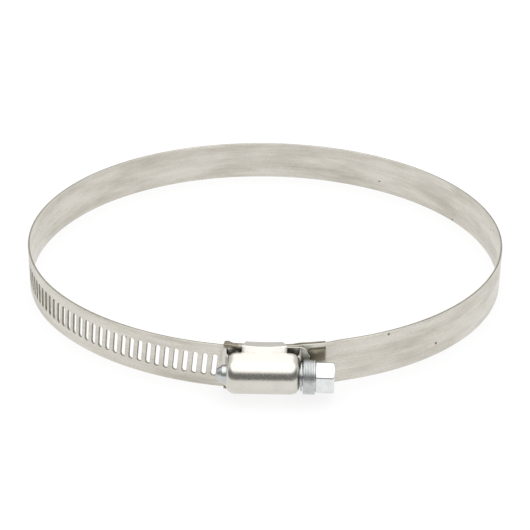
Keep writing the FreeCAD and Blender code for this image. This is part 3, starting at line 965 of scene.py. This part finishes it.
def build_screw():
    """The worm screw, made of rows of points from its nose to the hollow in its head."""
    thread = sizes().thread_radius
    core = thread - THREAD_DEPTH
    corner = sizes().hexagon / math.sqrt(3)
    turns = screw_turns()

    nose = [(0, NOSE_TIP), (NOSE_TIP_RADIUS, NOSE_TIP), (NOSE_RADIUS, NOSE_TAPER_END),
            (NOSE_RADIUS, THREAD_START)]
    rows = [turned_row(radius, along) for radius, along in rounded(nose, NOSE_BEND, 5)]
    rows.append(turned_row(core, THREAD_START))
    inside = 0.01 * MM
    for along in spread(THREAD_START + inside, THREAD_END - inside, THREAD_ROWS):
        fade = min(1, (along - THREAD_START) / THREAD_RUN_OUT, (THREAD_END - along) / THREAD_RUN_OUT)
        rows.append([(core + THREAD_DEPTH * thread_height(turn, along) * fade, along) for turn in turns])
    rows.append(turned_row(core, THREAD_END))
    rows += [turned_row(radius, along) for radius, along in collar_profile()]
    turned_rows = len(rows)
    rows.append(hexagon_row(HEAD_START, corner))
    inwards, deep = HEAD_ROUNDING
    for below in HEAD_ROWS:
        along = HEAD_TOP - below * MM
        sunk = max(0, along - (HEAD_TOP - deep)) / deep
        limit = corner + HEAD_ROUNDING_START - inwards * (1 - math.sqrt(max(0, 1 - sunk ** 2)))
        rows.append(hexagon_row(along, limit))
    rows.append(turned_row(DISH_RADIUS, HEAD_TOP))
    rows.append(turned_row(DISH_RADIUS - DISH_BEVEL, HEAD_TOP - DISH_DEPTH))
    rows.append(turned_row(0, HEAD_TOP - DISH_DEPTH))

    points = []
    faces = []
    for row in rows:
        for (radius, along), turn in zip(row, turns):
            points.append(at(radius, turn, along))
    for r in range(len(rows) - 1):
        low = r * SCREW_SIDES
        high = low + SCREW_SIDES
        for c in range(SCREW_SIDES):
            n = (c + 1) % SCREW_SIDES
            faces.append((low + c, low + n, high + n, high + c))
    piece = new_piece("screw", points, faces, zinc_plate())
    piece.data.materials.append(turned_zinc())
    for face in piece.data.polygons:
        face.material_index = 1 if face.vertices[2] < turned_rows * SCREW_SIDES else 0
    weld(piece)
    turn = Vector((0, 0, 1)).rotation_difference(TOWARDS_HEAD).to_matrix().to_4x4()
    piece.data.transform(Matrix.Translation(SCREW_POINT) @ turn)
    shade(piece, 28)
    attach(piece, "screw")
    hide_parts("worm_screw")


# ---- stage ----

def light_table():
    """Sanded opal acrylic, lit from below: even, white and matt, so that shadows on it stay faint.
    Its real grit is too fine to show, so the clouds in its gloss are drawn coarser."""
    material = bpy.data.materials.new("sanded_opal_acrylic")
    material.use_nodes = True
    tree = material.node_tree
    tree.nodes.clear()
    grain = add_node(tree, "ShaderNodeTexNoise", inputs={"Scale": 2 * FLOOR_HALF / FLOOR_CLOUD})
    tone = add_node(tree, "ShaderNodeMapRange", inputs={
        "Value": grain.outputs["Fac"], "To Min": 0.85, "To Max": 0.95})
    shader = add_node(tree, "ShaderNodeBsdfPrincipled", inputs={
        "Base Color": opaque(colours().floor), "Roughness": tone.outputs["Result"],
        "Emission Color": (1, 1, 1, 1), "Emission Strength": FLOOR_GLOW})
    add_node(tree, "ShaderNodeOutputMaterial", inputs={"Surface": shader.outputs["BSDF"]})
    return material


def build_floor():
    """Flat floor under the lowest point of the clamp."""
    low = cad_bounds[0][2]
    side = spread(-FLOOR_HALF, FLOOR_HALF, 3)
    points = []
    faces = []
    grid(points, faces, [[Vector((x, y, low)) for x in side] for y in side])
    floor = new_piece("floor", points, faces, light_table())


def build_light():
    """Wide soft light from above and a pale backdrop, with a dim room on the near side."""
    world = bpy.data.worlds.new("studio")
    bpy.context.scene.world = world
    world.use_nodes = True
    tree = world.node_tree
    tree.nodes.clear()
    place = add_node(tree, "ShaderNodeTexCoord")
    split = add_node(tree, "ShaderNodeSeparateXYZ", inputs={"Vector": place.outputs["Generated"]})
    ceiling = add_node(tree, "ShaderNodeMapRange", {"interpolation_type": "SMOOTHSTEP"}, inputs={
        "Value": split.outputs["Z"], "From Min": CEILING_RISE[0], "From Max": CEILING_RISE[1]})
    backdrop = add_node(tree, "ShaderNodeMapRange", {"interpolation_type": "SMOOTHSTEP"}, inputs={
        "Value": split.outputs["Y"], "From Min": BACKDROP_RISE[0], "From Max": BACKDROP_RISE[1],
        "To Min": NEAR_ROOM, "To Max": BACKDROP})
    glow = add_node(tree, "ShaderNodeMix", {"data_type": "FLOAT"}, inputs={
        0: ceiling.outputs["Result"], 2: backdrop.outputs["Result"], 3: CEILING})
    background = add_node(tree, "ShaderNodeBackground", inputs={
        "Color": (1, 1, 1, 1), "Strength": glow.outputs[0]})
    add_node(tree, "ShaderNodeOutputWorld", inputs={"Surface": background.outputs["Background"]})
    bpy.context.scene.view_settings.view_transform = "Standard"


def build_camera():
    """Camera in front of the screw, looking down at the middle of the ring."""
    distance = 0.442296
    elevation = math.radians(25.725)
    roll = math.radians(0.865)
    lens = bpy.data.cameras.new("camera")
    lens.sensor_width = 36
    lens.lens = 96.4
    lens.shift_x = -0.00325
    lens.shift_y = -0.0335
    camera = bpy.data.objects.new("camera", lens)
    bpy.context.scene.collection.objects.link(camera)
    place = Matrix.Translation((0, -distance * math.cos(elevation), distance * math.sin(elevation)))
    tilt = Matrix.Rotation(math.pi / 2 - elevation, 4, "X")
    camera.matrix_world = place @ tilt @ Matrix.Rotation(roll, 4, "Z")
    bpy.context.scene.camera = camera


# ---- operators ----

class CLAMP_OT_band(bpy.types.Operator):
    """Builds the band: held end, loop, slotted run and tail"""
    bl_idname = "clamp.band"
    bl_label = "Band"

    def execute(self, context):
        rolled_stainless()
        sheared_edge()
        first_middle = middle_of_link(1)
        piece = band_piece("band_held_end", FIXED_START, first_middle, radius=fixed_end_radius)
        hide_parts("band_fixed_end", "band_link_01")
        bend(piece, FIXED_STEP_OUT, first_middle)
        for number in range(1, LINK_COUNT):
            start = middle_of_link(number)
            end = middle_of_link(number + 1)
            piece = band_piece(f"band_loop_{number:02d}", start, end, slots_between(start, end))
            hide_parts(f"band_link_{number + 1:02d}")
            bend(piece, start, end)
        last_middle = middle_of_link(LINK_COUNT)
        piece = band_piece("band_slotted_run", last_middle, SPLICE, slots_between(last_middle, SPLICE))
        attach(piece, f"link_{LINK_COUNT:02d}")
        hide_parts(f"band_link_{LINK_COUNT:02d}")
        piece = band_piece("band_slotted_tail", SPLICE, TAIL_END, slots_between(SPLICE, TAIL_END),
                           radius=lambda degrees: TAIL_RADIUS, half_width=tail_width)
        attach(piece, "tail")
        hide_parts("band_tail")
        return {"FINISHED"}


class CLAMP_OT_saddle(bpy.types.Operator):
    """Builds the saddle with its ears and fold-over tabs"""
    bl_idname = "clamp.saddle"
    bl_label = "Saddle"

    def execute(self, context):
        build_saddle()
        return {"FINISHED"}


class CLAMP_OT_housing(bpy.types.Operator):
    """Builds the drawn housing with its wrapped tabs"""
    bl_idname = "clamp.housing"
    bl_label = "Housing"

    def execute(self, context):
        build_housing()
        return {"FINISHED"}


class CLAMP_OT_screw(bpy.types.Operator):
    """Builds the worm screw"""
    bl_idname = "clamp.screw"
    bl_label = "Screw"

    def execute(self, context):
        build_screw()
        return {"FINISHED"}


class CLAMP_OT_stage(bpy.types.Operator):
    """Builds the floor, the light and the camera"""
    bl_idname = "clamp.stage"
    bl_label = "Stage"

    def execute(self, context):
        build_floor()
        build_light()
        build_camera()
        return {"FINISHED"}


OPERATORS = (CLAMP_OT_band, CLAMP_OT_saddle, CLAMP_OT_housing, CLAMP_OT_screw, CLAMP_OT_stage)


class CLAMP_PT_panel(bpy.types.Panel):
    """Lists the steps that build the clamp"""
    bl_idname = "CLAMP_PT_panel"
    bl_label = "Hose clamp"
    bl_space_type = "VIEW_3D"
    bl_region_type = "UI"
    bl_category = "Hose clamp"

    def draw(self, context):
        for operator in OPERATORS:
            self.layout.operator(operator.bl_idname)


CLASSES = (ClampSizes, ClampColours, *OPERATORS, CLAMP_PT_panel)


def register():
    """Makes the operators, the panel and the properties known to Blender."""
    for cls in CLASSES:
        bpy.utils.register_class(cls)
    bpy.types.Scene.clamp_sizes = bpy.props.PointerProperty(type=ClampSizes)
    bpy.types.Scene.clamp_colours = bpy.props.PointerProperty(type=ClampColours)


def unregister():
    """Takes them away again."""
    del bpy.types.Scene.clamp_colours
    del bpy.types.Scene.clamp_sizes
    for cls in reversed(CLASSES):
        bpy.utils.unregister_class(cls)


def main():
    """Builds the clamp and the stage."""
    register()
    for operator in OPERATORS:
        group, name = operator.bl_idname.split(".")
        getattr(getattr(bpy.ops, group), name)()
    bpy.context.view_layer.update()


if __name__ == "__main__":
    main()
